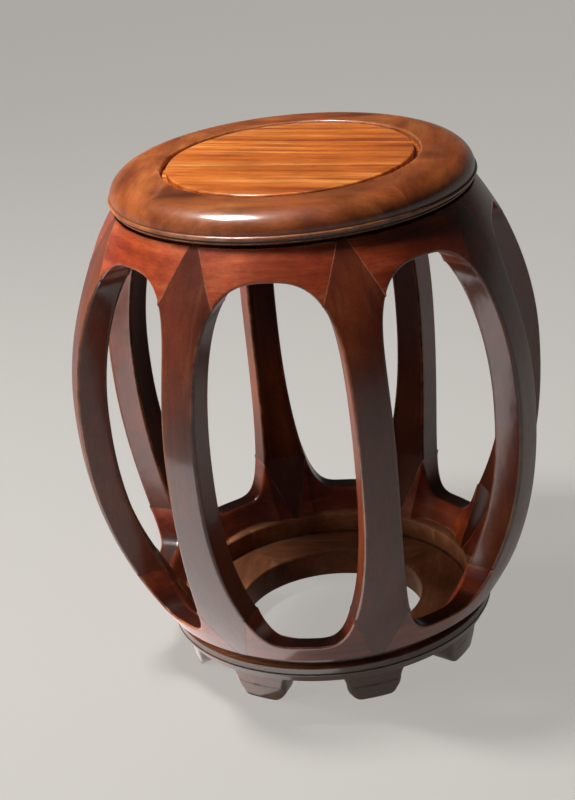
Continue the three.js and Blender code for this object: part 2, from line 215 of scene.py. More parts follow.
# Stage, lamps and camera
FLOOR_RADIUS = 9
FLOOR_SIDES = 96
FLOOR_COLOUR = "#7d7975"
FLOOR_GLOW_COLOUR = "#f4f0ea"
FLOOR_GLOW = 0.44
WORLD_LIGHT = 0.12
WORLD_STOPS = [(0.0, "#9c9996"), (0.52, "#9c9996"), (0.58, "#5a5856"), (0.66, "#343230"), (1.0, "#262422")]
CROWN_PLACE = (-0.459, -0.167, 1.546)
LAMPS = [
    {"name": "crown", "place": CROWN_PLACE, "size": 0.26, "power": 22, "glints": False},
    {"name": "shine", "place": CROWN_PLACE, "size": 0.3, "power": 46, "glints": True},
    {"name": "side", "place": (-1.77, -1.10, 1.25), "size": 0.9, "power": 12, "glints": False},
    {"name": "left", "place": (-1.90, 0.35, 0.35), "size": 0.5, "power": 32, "glints": False},
]
LAMP_TARGET = (0, 0, 0.3)
CARD_PLACE = (-0.395, -0.331, 0.002)
CARD_SIZE = (0.78, 0.44)
CARD_TURN = math.radians(-140)
CARD_POWER = 1.7
CAMERA_PLACE = (0.2847, -1.6622, 0.9606)
CAMERA_TARGET = (-0.0239, -0.0041, 0.2461)
CAMERA_ROLL = math.radians(5.94)
CAMERA_LENS = 88.14

# Levels, radii and angles that follow from the sizes above
RING_BOTTOM = FOOT_HEIGHT + JOINT_GAP
RING_TOP = RING_BOTTOM + BASE_RING_HEIGHT
BODY_BOTTOM = RING_TOP + JOINT_GAP
BODY_TOP = BODY_BOTTOM + BODY_HEIGHT
SEAT_BOTTOM = BODY_TOP + JOINT_GAP
SEAT_TOP = SEAT_BOTTOM + SEAT_RING_HEIGHT
BELLY_Z = BODY_BOTTOM + BELLY_RISE
WIDEST_Z = BODY_BOTTOM + WINDOW_WIDEST_RISE
PITCH = 2 * math.pi / SIDE_COUNT
QUARTER = 2 * math.pi / RING_SEGMENT_COUNT
RING_INNER_RADIUS = RING_OUTER_RADIUS - RING_WIDTH
RING_SOLE_RADIUS = RING_OUTER_RADIUS - RING_SOLE_SETBACK
BASE_WALL_RADIUS = BASE_BEAD_RADIUS - BASE_WALL_SETBACK
BASE_COVE_RADIUS = BASE_BEAD_RADIUS - BASE_COVE_SETBACK
BASE_HOLE_RADIUS = BASE_BEAD_RADIUS - BASE_RING_WIDTH
BASE_REBATE_RADIUS = BASE_BEAD_RADIUS - BASE_REBATE_SETBACK
TONGUE_TOP = SEAT_TOP - PANEL_STEP
TONGUE_BOTTOM = TONGUE_TOP - PANEL_TONGUE_THICKNESS

TOP_END = {
    "edge": BODY_TOP,
    "radius": RING_OUTER_RADIUS - BODY_TOP_SETBACK,
    "bulge": TOP_BULGE,
    "shoulder": BODY_TOP - TOP_SHOULDER_DROP,
    "crown": BODY_TOP - TOP_APRON_DEPTH,
    "arch": TOP_ARCH,
}
BOTTOM_END = {
    "edge": BODY_BOTTOM,
    "radius": BASE_BEAD_RADIUS + BODY_BOTTOM_OVERHANG,
    "bulge": BOTTOM_BULGE,
    "shoulder": BODY_BOTTOM + BOTTOM_SHOULDER_RISE,
    "crown": BODY_BOTTOM + BOTTOM_APRON_DEPTH,
    "arch": BOTTOM_ARCH,
}

UP = np.array([0, 0, 1])

rng = np.random.default_rng(SEED)


# Outlines of the barrel and its windows

def lerp(a, b, share):
    return a + (b - a) * share


def body_radius(z):
    """Outer radius of the barrel at a height, or at several."""
    up = np.asarray(z) > BELLY_Z
    edge = np.where(up, TOP_END["edge"], BOTTOM_END["edge"])
    end_radius = np.where(up, TOP_END["radius"], BOTTOM_END["radius"])
    bulge = np.where(up, TOP_END["bulge"], BOTTOM_END["bulge"])
    share = np.abs((z - BELLY_Z) / (edge - BELLY_Z))
    return BELLY_RADIUS - (BELLY_RADIUS - end_radius) * share ** bulge


def window_room(z):
    """Widest half angle that a window could have, with only the leg's waist left beside it."""
    return PITCH / 2 - LEG_WAIST_WIDTH / 2 / body_radius(z)


def window_half_angle(z):
    end = TOP_END if z > WIDEST_Z else BOTTOM_END
    share = abs((z - WIDEST_Z) / (end["crown"] - WIDEST_Z))
    return window_room(z) * (1 - share ** end["arch"]["rise"]) ** (1 / end["arch"]["round"])


def window_point(end, share):
    """Half angle and height on the window's outline, from its widest place (0) to its crown (1)."""
    turn = share * math.pi / 2
    z = WIDEST_Z + (end["crown"] - WIDEST_Z) * math.sin(turn) ** (2 / end["arch"]["rise"])
    return window_room(z) * max(math.cos(turn), 0) ** (2 / end["arch"]["round"]), z


def shoulder_share(end):
    share = abs((end["shoulder"] - WIDEST_Z) / (end["crown"] - WIDEST_Z))
    return math.asin(share ** (end["arch"]["rise"] / 2)) / (math.pi / 2)


def mitre_half_angle(end, z):
    """Half angle of a leg in its mitre: a straight taper from the shoulder to the tip."""
    shoulder_half = (PITCH / 2 - window_half_angle(end["shoulder"])) * body_radius(end["shoulder"])
    share = (z - end["shoulder"]) / (end["edge"] - end["shoulder"])
    return lerp(shoulder_half, LEG_TIP_WIDTH / 2, share) / body_radius(z)


def apron_thickness(end, angle):
    """Hollowed behind the crown, and flush with the legs at the shoulders."""
    share = min(abs(angle) / window_half_angle(end["shoulder"]), 1)
    return lerp(APRON_THICKNESS, LEG_THICKNESS, share ** APRON_HOLLOW)


def edge_ease(distance):
    """Round of a window's edge, which fades to a seam's fine round next to the mitre."""
    return lerp(SEAM_ROUND, EDGE_ROUND, math.sqrt(min(distance / SEAM_FADE, 1)))


# Sections and skins

def polar(radius, angle, z):
    return np.stack(np.broadcast_arrays(radius * np.cos(angle), radius * np.sin(angle), z), -1)


def spread(start, stop, steps):
    """Places from start to stop, packed closer together towards both."""
    return lerp(start, stop, (1 - np.cos(np.linspace(0, math.pi, steps + 1))) / 2)


def rounded_section(wall, thickness, low, high, ease, low_room, high_room):
    """Closed section with rounded corners, between a low and a high side. Its outer face follows wall, a
    curve over the places between them, and its inner face lies a thickness behind."""
    turns = np.linspace(0, math.pi / 2, ROUND_STEPS + 1)
    depth = ease * (1 - np.cos(turns))
    reach = 1 - np.sin(turns)
    face = spread(low + low_room, high - high_room, FACE_STEPS)[1:-1]
    high_places = high - high_room * reach
    low_places = low + low_room * reach
    outer_high = wall(high_places) - depth
    inner_high = wall(high_places) - thickness + depth
    outer_low = wall(low_places) - depth
    inner_low = wall(low_places) - thickness + depth
    high_side = spread(outer_high[-1], inner_high[-1], SIDE_STEPS)[1:-1]
    low_side = spread(inner_low[-1], outer_low[-1], SIDE_STEPS)[1:-1]
    parts = [
        (wall(face), face),
        (outer_high, high_places),
        (high_side, np.full(len(high_side), high)),
        (inner_high[::-1], high_places[::-1]),
        (wall(face[::-1]) - thickness, face[::-1]),
        (inner_low, low_places),
        (low_side, np.full(len(low_side), low)),
        (outer_low[::-1], low_places[::-1]),
    ]
    return tuple(np.concatenate(values) for values in zip(*parts))


def round_section(radius, thickness, half, ease, z):
    """Level section of a piece that follows a circle round the stool, with a half width along it."""
    def wall(angle):
        return np.full(np.shape(angle), radius)

    room = ease / radius
    radii, angles = rounded_section(wall, thickness, -half, half, ease, room, room)
    return polar(radii, angles, z)


def grid_mesh(name, points):
    """Closed skin through rows of closed loops, with a flat cap on the first and the last."""
    rows, cols = points.shape[:2]
    index = np.arange(rows * cols).reshape(rows, cols)
    ahead = np.roll(index, -1, axis=1)
    quads = np.stack([index[:-1], ahead[:-1], ahead[1:], index[1:]], -1).reshape(-1, 4)
    faces = quads.tolist() + [index[0][::-1].tolist(), index[-1].tolist()]
    mesh = bpy.data.meshes.new(name)
    mesh.from_pydata(points.reshape(-1, 3).tolist(), [], faces)
    corners = points.reshape(-1, 3)[quads]
    across = np.cross(corners[:, 2] - corners[:, 0], corners[:, 3] - corners[:, 1])
    if (across * corners.mean(1)).sum() < 0:
        mesh.flip_normals()
    mesh.polygons.foreach_set("use_smooth", np.ones(len(mesh.polygons), bool))
    mesh.set_sharp_from_angle(angle=SHARP_ANGLE)
    return mesh


def read_vectors(items, field):
    values = np.empty(len(items) * 3, np.float32)
    items.foreach_get(field, values)
    return values.reshape(-1, 3).astype(float)


def add_values(mesh, name, values):
    attribute = mesh.attributes.new(name, "FLOAT", "POINT")
    attribute.data.foreach_set("value", values.astype(np.float32))


def add_edge_and_hollow_marks(mesh):
    """Marks how sharply the surface turns outwards, for pale edges that are partly abrasion and partly a
    painted highlight, and inwards, for hollows darkened partly by dirt and partly by painted shade.
    """
    places, normals = read_vectors(mesh.vertices, "co"), read_vectors(mesh.vertex_normals, "vector")
    ends = np.empty(len(mesh.edges) * 2, np.int32)
    mesh.edges.foreach_get("vertices", ends)
    a, b = ends.reshape(-1, 2).T
    step, turn = places[a] - places[b], normals[a] - normals[b]
    bend = (step * turn).sum(1) / np.maximum((step * step).sum(1), SHORTEST_EDGE ** 2)
    count = np.bincount(ends, minlength=len(places))
    total = np.bincount(a, bend, len(places)) + np.bincount(b, bend, len(places))
    # Pale edges get abrasion and a painted highlight, and hollows get dirt and painted shade
    for name, sign, (low, high) in (("wear_and_edge_highlight", 1, EDGE_BENDS), ("dirt_and_hollow_shade", -1, HOLLOW_BENDS)):
        add_values(mesh, name, np.clip((sign * total / count - low) / (high - low), 0, 1))


def add_grain(mesh, along, across):
    """Coordinates of the piece's timber: along the grain, across it and through it, at a random place."""
    axes = np.array([along, across, np.cross(along, across)])
    places = read_vectors(mesh.vertices, "co") @ axes.T + rng.uniform(0, GRAIN_SPREAD, 3)
    attribute = mesh.attributes.new("grain", "FLOAT_VECTOR", "POINT")
    attribute.data.foreach_set("vector", places.astype(np.float32).ravel())
    add_values(mesh, "tone", np.full(len(places), rng.uniform(-1, 1)))


def look_outwards(places, normals):
    """How far surfaces look away from the stool's axis, from -1 to 1."""
    outward = places * (1, 1, 0)
    return (normals * outward).sum(1) / np.linalg.norm(outward, axis=1)


def add_satin(mesh, satin_finish):
    """Gives the inner faces of a piece a duller finish."""
    normals = read_vectors(mesh.polygons, "normal")
    facing = look_outwards(read_vectors(mesh.polygons, "center"), normals)
    is_satin = (facing < SATIN_FACING) & (normals[:, 2] < SATIN_SLOPE)
    mesh.materials.append(satin_finish)
    mesh.polygons.foreach_set("material_index", is_satin.astype(np.int32))


def add_painted_shade_and_light(mesh, painted_shade_strength):
    """Marks painted shade that darkens the inner faces and the sills of the windows, and painted light that
    lightens their sides.
    """
    normals = read_vectors(mesh.vertex_normals, "vector")
    facing = look_outwards(read_vectors(mesh.vertices, "co"), normals)
    rise = normals[:, 2]
    sideways = np.clip(1 - SIDEWAYS_FADE * np.abs(facing), 0, 1)
    upright = np.clip(1 - UPRIGHT_FADE * np.abs(rise), 0, 1)
    # Painted shade on inner faces and sills, and painted light on the windows' sides
    dark = np.clip(np.maximum(-INNER_SHADE * facing, SILL_SHADE * sideways * rise), 0, 1)
    light = JAMB_SHADE * sideways * upright
    add_values(mesh, "shade", painted_shade_strength * (dark + light))


def make_piece(node, points, finish, along, across, painted_shade_strength=None):
    """A piece of timber that stands for a node of the frame. Its painted shade strength sets how far painted
    shade darkens its inner faces and sills and painted light lightens its windows' sides; below zero it
    swaps them. A piece without it is polished all over."""
    mesh = grid_mesh(node + "_wood", points)
    add_edge_and_hollow_marks(mesh)
    add_grain(mesh, along, across)
    mesh.materials.append(finish["polished"])
    if painted_shade_strength is not None:
        add_satin(mesh, finish["satin"])
        add_painted_shade_and_light(mesh, painted_shade_strength)
    piece = bpy.data.objects.new(node + "_wood", mesh)
    bpy.context.scene.collection.objects.link(piece)
    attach(piece, "root")
    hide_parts(node)


def turned(points, angle):
    """Points turned about the stool's axis."""
    return points @ np.array(Matrix.Rotation(angle, 3, "Z")).T


def level_axes(angle):
    """Level directions outwards and round the stool at an azimuth."""
    return np.array([math.cos(angle), math.sin(angle), 0]), np.array([-math.sin(angle), math.cos(angle), 0])


# Legs and aprons

def leg_section(z, half, ease):
    return round_section(float(body_radius(z)), LEG_THICKNESS, half, ease, z)


def leg_points():
    sections = []
    for z in np.linspace(BOTTOM_END["edge"], BOTTOM_END["shoulder"], MITRE_ROWS + 1):
        sections.append(leg_section(z, mitre_half_angle(BOTTOM_END, z), SEAM_ROUND))
    for z in spread(BOTTOM_END["shoulder"], TOP_END["shoulder"], LEG_ROWS)[1:-1]:
        distance = min(z - BOTTOM_END["shoulder"], TOP_END["shoulder"] - z)
        sections.append(leg_section(z, PITCH / 2 - window_half_angle(z), edge_ease(distance)))
    for z in np.linspace(TOP_END["shoulder"], TOP_END["edge"], MITRE_ROWS + 1):
        sections.append(leg_section(z, mitre_half_angle(TOP_END, z), SEAM_ROUND))
    return np.array(sections)


def apron_section(end, angle, z, ease, steepness):
    """Upright section of an apron, from the ring's side to the window's edge."""
    height = abs(z - end["edge"])
    most_ease = height * WINDOW_EASE_SHARE
    window_side = min(ease * steepness, most_ease)
    ring_side = min(SEAM_ROUND, height * RING_EASE_SHARE)
    low, high = sorted((z, end["edge"]))
    rooms = (ring_side, window_side) if end is BOTTOM_END else (window_side, ring_side)
    thickness = apron_thickness(end, angle)
    radii, levels = rounded_section(body_radius, thickness, low, high, min(ease, most_ease), *rooms)
    return polar(radii, angle, levels)


def apron_columns(end):
    """Half of an apron's upright sections, from the heel beside the leg's tip to the crown. Each has an
    angle, a height, an ease and how much the slope of the outline stretches that ease."""
    gap = SEAM_GAP / (body_radius(end["edge"]) - LEG_THICKNESS)
    heel = end["edge"] + math.copysign(APRON_HEEL, end["shoulder"] - end["edge"])
    columns = []
    for z in np.linspace(heel, end["shoulder"], MITRE_ROWS + 1):
        columns.append((PITCH / 2 - mitre_half_angle(end, z) - gap, z, SEAM_ROUND, 1))
    places = [window_point(end, share) for share in np.linspace(shoulder_share(end), 1, APRON_COLUMNS + 1)]
    for before, (angle, z) in zip(places, places[1:]):
        run = abs(before[0] - angle) * body_radius(z)
        steepness = math.hypot(run, before[1] - z) / max(run, LEAST_RUN)
        ease = edge_ease(abs(z - end["shoulder"]))
        columns.append((angle, z, ease, min(steepness, STEEPEST_EASE)))
    return columns


def apron_points(end):
    half = apron_columns(end)
    columns = half + [(-angle, *rest) for angle, *rest in half[-2::-1]]
    return np.array([apron_section(end, *column) for column in columns])


def make_barrel(leg_wood, apron_wood):
    leg = leg_points()
    aprons = {"top_apron": apron_points(TOP_END), "bottom_apron": apron_points(BOTTOM_END)}
    for i in range(SIDE_COUNT):
        leg_turn = (i + 0.5) * PITCH
        around = level_axes(leg_turn)[1]
        make_piece(f"leg_{i + 1}", turned(leg, leg_turn), leg_wood, UP, around, painted_shade_strength=1)
        apron_turn = i * PITCH
        along = level_axes(apron_turn)[1]
        for name, points in aprons.items():
            make_piece(f"{name}_{i + 1}", turned(points, apron_turn), apron_wood, along, UP, painted_shade_strength=1)


# Rings

def arc(centre, size, start, stop, steps):
    """Points of an ellipse's arc, from one direction to another, given in quarter turns."""
    turns = np.linspace(start, stop, steps + 1) * math.pi / 2
    return [(centre[0] + size[0] * math.cos(t), centre[1] + size[1] * math.sin(t)) for t in turns]


def seat_ring_profile():
    """From the sole up: a string, a bead, a round nose, the level top and the panel's groove."""
    nose_bottom = SEAT_TOP - BULLNOSE_DEPTH
    nose_centre = (RING_OUTER_RADIUS - BULLNOSE_SETBACK - BULLNOSE_WIDTH, nose_bottom)
    bead_centre = (RING_OUTER_RADIUS + BEAD_OVERHANG - BEAD_RADIUS, nose_bottom - BEAD_RADIUS)
    bead_bottom = nose_bottom - 2 * BEAD_RADIUS
    string_centre = (RING_OUTER_RADIUS - STRING_SETBACK - STRING_RADIUS, nose_bottom - STRING_DROP)
    fillet_radius = RING_OUTER_RADIUS - RING_FILLET_SETBACK
    fillet_bottom = string_centre[1] - RING_FILLET_HEIGHT
    lip_centre = (RING_INNER_RADIUS + RING_LIP_ROUND, SEAT_TOP - RING_LIP_ROUND)
    slot_radius = RING_INNER_RADIUS + PANEL_TONGUE_REACH + JOINT_GAP
    top = [(radius, SEAT_TOP) for radius in spread(nose_centre[0], lip_centre[0], FACE_STEPS)[1:-1]]
    return [
        (RING_INNER_RADIUS, SEAT_BOTTOM),
        (RING_SOLE_RADIUS, SEAT_BOTTOM),
        (RING_SOLE_RADIUS, fillet_bottom),
        (fillet_radius, fillet_bottom),
        *arc(string_centre, (STRING_RADIUS, STRING_RADIUS), -1, 1, ROUND_STEPS),
        (fillet_radius, string_centre[1] + STRING_RADIUS),
        (fillet_radius, bead_bottom),
        *arc(bead_centre, (BEAD_RADIUS, BEAD_RADIUS), -1, BEAD_TOP_TURN, FINE_ROUND_STEPS),
        *arc(nose_centre, (BULLNOSE_WIDTH, BULLNOSE_DEPTH), 0, 1, 2 * FINE_ROUND_STEPS),
        *top,
        *arc(lip_centre, (RING_LIP_ROUND, RING_LIP_ROUND), 1, 2, ROUND_STEPS),
        (RING_INNER_RADIUS, TONGUE_TOP + JOINT_GAP),
        (slot_radius, TONGUE_TOP + JOINT_GAP),
        (slot_radius, TONGUE_BOTTOM - JOINT_GAP),
        (RING_INNER_RADIUS, TONGUE_BOTTOM - JOINT_GAP),
    ]


def base_ring_profile():
    """From the sole up: a fascia that leans out to a string, a band, a cove, the top and the inner ledge."""
    cove_bottom = RING_TOP - BASE_COVE_HEIGHT
    ledge = RING_TOP - BASE_LEDGE_DROP
    rim_bottom = ledge - BASE_RIM_HEIGHT
    ease = (BASE_EDGE_ROUND, BASE_EDGE_ROUND)
    half_ease = (BASE_EDGE_ROUND / 2, BASE_EDGE_ROUND / 2)
    string = (BASE_STRING_RADIUS, BASE_STRING_RADIUS)
    string_z = (cove_bottom + RING_BOTTOM) / 2
    band_radius = BASE_BEAD_RADIUS - BASE_BAND_SETBACK
    string_centre = (band_radius - BASE_STRING_SINK, string_z)
    sole_radius = BASE_BEAD_RADIUS - BASE_SOLE_SETBACK
    hole_centre = BASE_HOLE_RADIUS + BASE_EDGE_ROUND
    return [
        (BASE_REBATE_RADIUS, RING_BOTTOM),
        *arc((sole_radius - half_ease[0], RING_BOTTOM + half_ease[1]), half_ease, -1, 0, ROUND_STEPS),
        (band_radius, string_z - BASE_STRING_ROOM),
        *arc(string_centre, string, -BASE_STRING_TURN, BASE_STRING_TURN, FINE_ROUND_STEPS),
        (band_radius, string_z + BASE_STRING_ROOM),
        *arc((band_radius - BASE_EDGE_ROUND, cove_bottom - BASE_EDGE_ROUND), ease, 0, 1, ROUND_STEPS),
        (BASE_COVE_RADIUS, cove_bottom + half_ease[1]),
        (BASE_COVE_RADIUS, RING_TOP - BASE_EDGE_ROUND),
        (BASE_BEAD_RADIUS - BASE_TOP_SETBACK, RING_TOP),
        *arc((BASE_WALL_RADIUS + BASE_EDGE_ROUND, RING_TOP - BASE_EDGE_ROUND), ease, 1, 2, ROUND_STEPS),
        *arc((BASE_WALL_RADIUS - BASE_EDGE_ROUND, ledge + BASE_EDGE_ROUND), ease, 0, -1, ROUND_STEPS),
        *arc((hole_centre, ledge - BASE_EDGE_ROUND), ease, 1, 2, ROUND_STEPS),
        *arc((hole_centre, rim_bottom + BASE_EDGE_ROUND), ease, 2, 3, ROUND_STEPS),
        (BASE_REBATE_RADIUS, rim_bottom),
    ]


def ring_segment(profile):
    """A quarter of a ring, from just after one seam to just before the next."""
    radii, levels = np.array(profile).T
    ends = (SEAM_GAP / 2 + np.array(SEAM_COLUMN_SHARES) * SEAM_ROUND) / radii.mean()
    middle = np.linspace(0, QUARTER, TURN_STEPS + 1)[1:-1]
    angles = np.concatenate([ends, middle, QUARTER - ends[::-1]])
    return polar(radii[None], angles[:, None], levels[None])


def make_ring(name, profile, timber, painted_shade_strength=None):
    points = ring_segment(profile)
    for i in range(RING_SEGMENT_COUNT):
        start = PITCH + i * QUARTER
        outward, around = level_axes(start + QUARTER / 2)
        make_piece(f"{name}_{i + 1}", turned(points, start), timber, around, outward, painted_shade_strength)


def make_panel(timber):
    field = RING_INNER_RADIUS - PANEL_REVEAL
    tongue = RING_INNER_RADIUS + PANEL_TONGUE_REACH
    ease = (PANEL_EDGE_ROUND, PANEL_EDGE_ROUND)
    edge_centre = (field - PANEL_EDGE_ROUND, SEAT_TOP - PANEL_EDGE_ROUND)
    top = [(radius, SEAT_TOP) for radius in np.linspace(PANEL_EDGE_ROUND, edge_centre[0], FACE_STEPS)]
    profile = np.array([
        *top[:-1],
        *arc(edge_centre, ease, 1, 0, ROUND_STEPS),
        (field, TONGUE_TOP),
        (tongue, TONGUE_TOP),
        (tongue, TONGUE_BOTTOM),
        (PANEL_EDGE_ROUND, TONGUE_BOTTOM),
    ])
    angles = np.arange(PANEL_TURN_STEPS) / PANEL_TURN_STEPS * 2 * math.pi
    points = polar(profile[:, :1], angles[None], profile[:, 1:])
    make_piece("seat_panel", points, timber, *level_axes(PANEL_GRAIN_TURN))


def make_batten(timber):
    top = TONGUE_BOTTOM - JOINT_GAP
    bottom = top - BATTEN_DEPTH
    reach = RING_INNER_RADIUS + PANEL_TONGUE_REACH + BATTEN_HOUSING
    half = BATTEN_WIDTH / 2
    ease = (BATTEN_ROUND, BATTEN_ROUND)
    section = [
        (-half, top), (half, top),
        *arc((half - BATTEN_ROUND, bottom + BATTEN_ROUND), ease, 0, -1, ROUND_STEPS),
        *arc((BATTEN_ROUND - half, bottom + BATTEN_ROUND), ease, -1, -2, ROUND_STEPS),
    ]
    along, across = level_axes(PANEL_GRAIN_TURN + math.pi / 2)
    ends = [[side * reach * along + y * across + z * UP for y, z in section] for side in (-1, 1)]
    make_piece("panel_batten", np.array(ends), timber, along, across)


# Feet

def foot_half_width(z):
    """A round bottom corner, a straight side and a small flare on top."""
    if z < FOOT_CORNER_HEIGHT:
        share = math.sqrt(1 - (1 - z / FOOT_CORNER_HEIGHT) ** 2)
        return lerp(FOOT_FOOTPRINT_WIDTH, FOOT_BODY_WIDTH, share) / 2
    share = max(z - FOOT_HEIGHT + FOOT_FLARE_HEIGHT, 0) / FOOT_FLARE_HEIGHT
    return lerp(FOOT_BODY_WIDTH, FOOT_TOP_WIDTH, share ** 2) / 2


def foot_section(z):
    outer = BASE_BEAD_RADIUS - lerp(FOOT_BOTTOM_SETBACK, FOOT_TOP_SETBACK, z / FOOT_HEIGHT)
    thickness = outer - BASE_REBATE_RADIUS - JOINT_GAP
    ease = min(FOOT_EDGE_ROUND, z + SEAM_ROUND)
    return round_section(outer, thickness, foot_half_width(z) / outer, ease, z)


def make_feet(timber):
    corner = FOOT_CORNER_HEIGHT * (1 - np.cos(np.linspace(0, math.pi / 2, FOOT_ROWS + 1)))
    flare = np.linspace(FOOT_HEIGHT - FOOT_FLARE_HEIGHT, FOOT_HEIGHT, FOOT_ROWS + 1)
    foot = np.array([foot_section(float(z)) for z in [*corner, *flare]])
    for i in range(SIDE_COUNT):
        turn = (i + 0.5) * PITCH
        outward, around = level_axes(turn)
        make_piece(f"foot_{i + 1}", turned(foot, turn), timber, around, outward)


# Finishes

def paint(hex_colour):
    """Opaque linear colour from a hex one."""
    shares = [int(hex_colour[i:i + 2], 16) / 255 for i in (1, 3, 5)]
    linear = [s / 12.92 if s <= 0.04045 else ((s + 0.055) / 1.055) ** 2.4 for s in shares]
    return (*linear, 1)


class Tree:
    """Adds and links the nodes of one material or world."""

    def __init__(self, owner):
        owner.use_nodes = True
        self.nodes = owner.node_tree.nodes
        self.links = owner.node_tree.links

    def add(self, kind, inputs, **settings):
        node = self.nodes.new(kind)
        for key, value in settings.items():
            setattr(node, key, value)
        self.feed(node, inputs)
        return node

    def feed(self, node, inputs):
        for key, value in inputs.items():
            if isinstance(value, bpy.types.NodeSocket):
                self.links.new(value, node.inputs[key])
            else:
                node.inputs[key].default_value = value

    def attribute(self, name, output="Fac"):
        return self.add("ShaderNodeAttribute", {}, attribute_name=name).outputs[output]

    def stretched(self, vector, scale):
        return self.add("ShaderNodeVectorMath", {0: vector, 1: scale}, operation="MULTIPLY").outputs[0]

    def noise(self, vector, scale, detail, roughness=0.55, distortion=0):
        inputs = {
            "Vector": vector,
            "Scale": scale,
            "Detail": detail,
            "Roughness": roughness,
            "Distortion": distortion,
        }
        return self.add("ShaderNodeTexNoise", inputs).outputs["Fac"]

    def rescale(self, value, old, new):
        """A value of the old range, kept inside it, brought to the new range."""
        inputs = {"Value": value, "From Min": old[0], "From Max": old[1], "To Min": new[0], "To Max": new[1]}
        return self.add("ShaderNodeMapRange", inputs).outputs["Result"]

    def math(self, operation, a, b):
        return self.add("ShaderNodeMath", {0: a, 1: b}, operation=operation).outputs[0]

    def ramp(self, value, stops):
        node = self.add("ShaderNodeValToRGB", {"Fac": value})
        elements = node.color_ramp.elements
        elements[0].position, elements[1].position = stops[0][0], stops[-1][0]
        for position, _ in stops[1:-1]:
            elements.new(position)
        for element, (_, colour) in zip(elements, stops):
            element.color = paint(colour)
        return node.outputs["Color"]

    def mix(self, factor, a, b, blend="MIX"):
        """A mix of two colours, which are the node's inputs 6 and 7 and its output 2."""
        inputs = {"Factor": factor, 6: a, 7: b}
        node = self.add("ShaderNodeMix", inputs, data_type="RGBA", blend_type=blend)
        return node.outputs[2]

    def bump(self, height, strength, distance):
        inputs = {"Height": height, "Strength": strength, "Distance": distance}
        return self.add("ShaderNodeBump", inputs).outputs["Normal"]


def wood(name, slot, **look):
    """A timber's finishes: polished, and satin for its inner faces."""
    polished = lacquer(name, POLISHED, **look)
    satin = lacquer(name + "_satin", SATIN, **look)
    return {"polished": polished, "satin": satin, "slot": slot}


def lacquer(name, shine, figure, worn, rubbed, streak, mottle, tone_reach):
    """Lacquered timber: figure and pores along the grain, clouds, pale edges of abrasion and painted
    highlight, hollows of dirt and painted shade, and painted shade and light on inner faces, sills and
    window sides.
    """
    material = bpy.data.materials.new(name)
    tree = Tree(material)
    grain = tree.attribute("grain", "Vector")
    clouds = tree.noise(grain, CLOUD_SCALE, detail=4, roughness=0.6, distortion=0.4)
    patches = tree.noise(grain, PATCH_SCALE, detail=4, roughness=0.7)
    colour, relief = add_figure(tree, grain, figure, worn, streak)
    colour = add_tone(tree, colour, clouds, patches, mottle, tone_reach)
    colour = add_age(tree, colour, clouds, patches, worn, rubbed)
    polish = tree.noise(grain, POLISH_SCALE, detail=2, roughness=0.5)
    tree.feed(tree.nodes["Principled BSDF"], {
        "Base Color": colour,
        "Roughness": tree.rescale(clouds, CLOUD_RANGE, WOOD_ROUGHNESS),
        "Normal": tree.bump(relief, strength=0.25, distance=0.0002),
        "Coat Normal": tree.bump(polish, strength=0.12, distance=0.002),
        "Coat Roughness": COAT_ROUGHNESS,
        "Coat IOR": COAT_IOR,
        **shine,
    })
    return material


def add_figure(tree, grain, figure, worn, streak):
    """Colour of the bands, veins, flecks, fibres and pores along a wandering grain, and its relief."""
    along, across = streak["along"], streak["across"]
    wander = tree.noise(tree.stretched(grain, WANDER_SCALE), 1, detail=2)
    drift = tree.math("MULTIPLY", tree.math("SUBTRACT", wander, 0.5), streak["wander"])
    bent = tree.add("ShaderNodeVectorMath", {0: grain, 1: drift}, operation="ADD").outputs[0]
    band_scale = (along, across, across / 2)
    vein_scale = (along / 2, VEIN_CROWDING * across, across)
    bands = tree.noise(tree.stretched(bent, band_scale), 1, detail=5, roughness=0.6)
    veins = tree.noise(tree.stretched(bent, vein_scale), 1, detail=3, roughness=0.5)
    fibres = tree.noise(tree.stretched(bent, FIBRE_SCALE), 1, detail=3, roughness=0.65)
    pores = tree.rescale(tree.noise(tree.stretched(bent, PORE_SCALE), 1, detail=2), PORE_RANGE, (0, 1))
    dark = paint(DARK_COLOUR)
    colour = tree.ramp(bands, figure)
    colour = tree.mix(tree.rescale(veins, VEIN_RANGE, (0, streak["veins"])), colour, dark)
    colour = tree.mix(tree.rescale(veins, FLECK_RANGE, (0, streak["flecks"])), colour, paint(worn))
    colour = tree.mix(tree.rescale(fibres, FIBRE_RANGE, (0, FIBRE_STRENGTH)), colour, dark, "MULTIPLY")
    colour = tree.mix(tree.math("MULTIPLY", pores, PORE_STRENGTH), colour, dark)
    relief = tree.math("ADD", fibres, tree.math("MULTIPLY", pores, PORE_DEPTH))
    return colour, relief


def add_tone(tree, colour, clouds, patches, mottle, tone_reach):
    """Lightens and darkens a colour by clouds and patches, by the piece's own tone, and by its painted shade
    and painted light.
    """
    tone = tree.math("MULTIPLY", tree.attribute("tone"), tone_reach)
    cloudy = tree.rescale(clouds, CLOUD_RANGE, (1 - mottle, 1 + mottle))
    patchy = tree.rescale(patches, CLOUD_RANGE, (1 - mottle / 2, 1 + mottle / 2))
    # Painted shade on inner faces and sills, and painted light on the windows' sides
    shade = tree.rescale(tree.attribute("shade"), (-1, 1), (1 + SHADE_DEPTH, 1 - SHADE_DEPTH))
    value = tree.math("MULTIPLY", tree.math("ADD", cloudy, tone), patchy)
    value = tree.math("MULTIPLY", value, shade)
    return tree.add("ShaderNodeHueSaturation", {"Color": colour, "Value": value}).outputs[0]


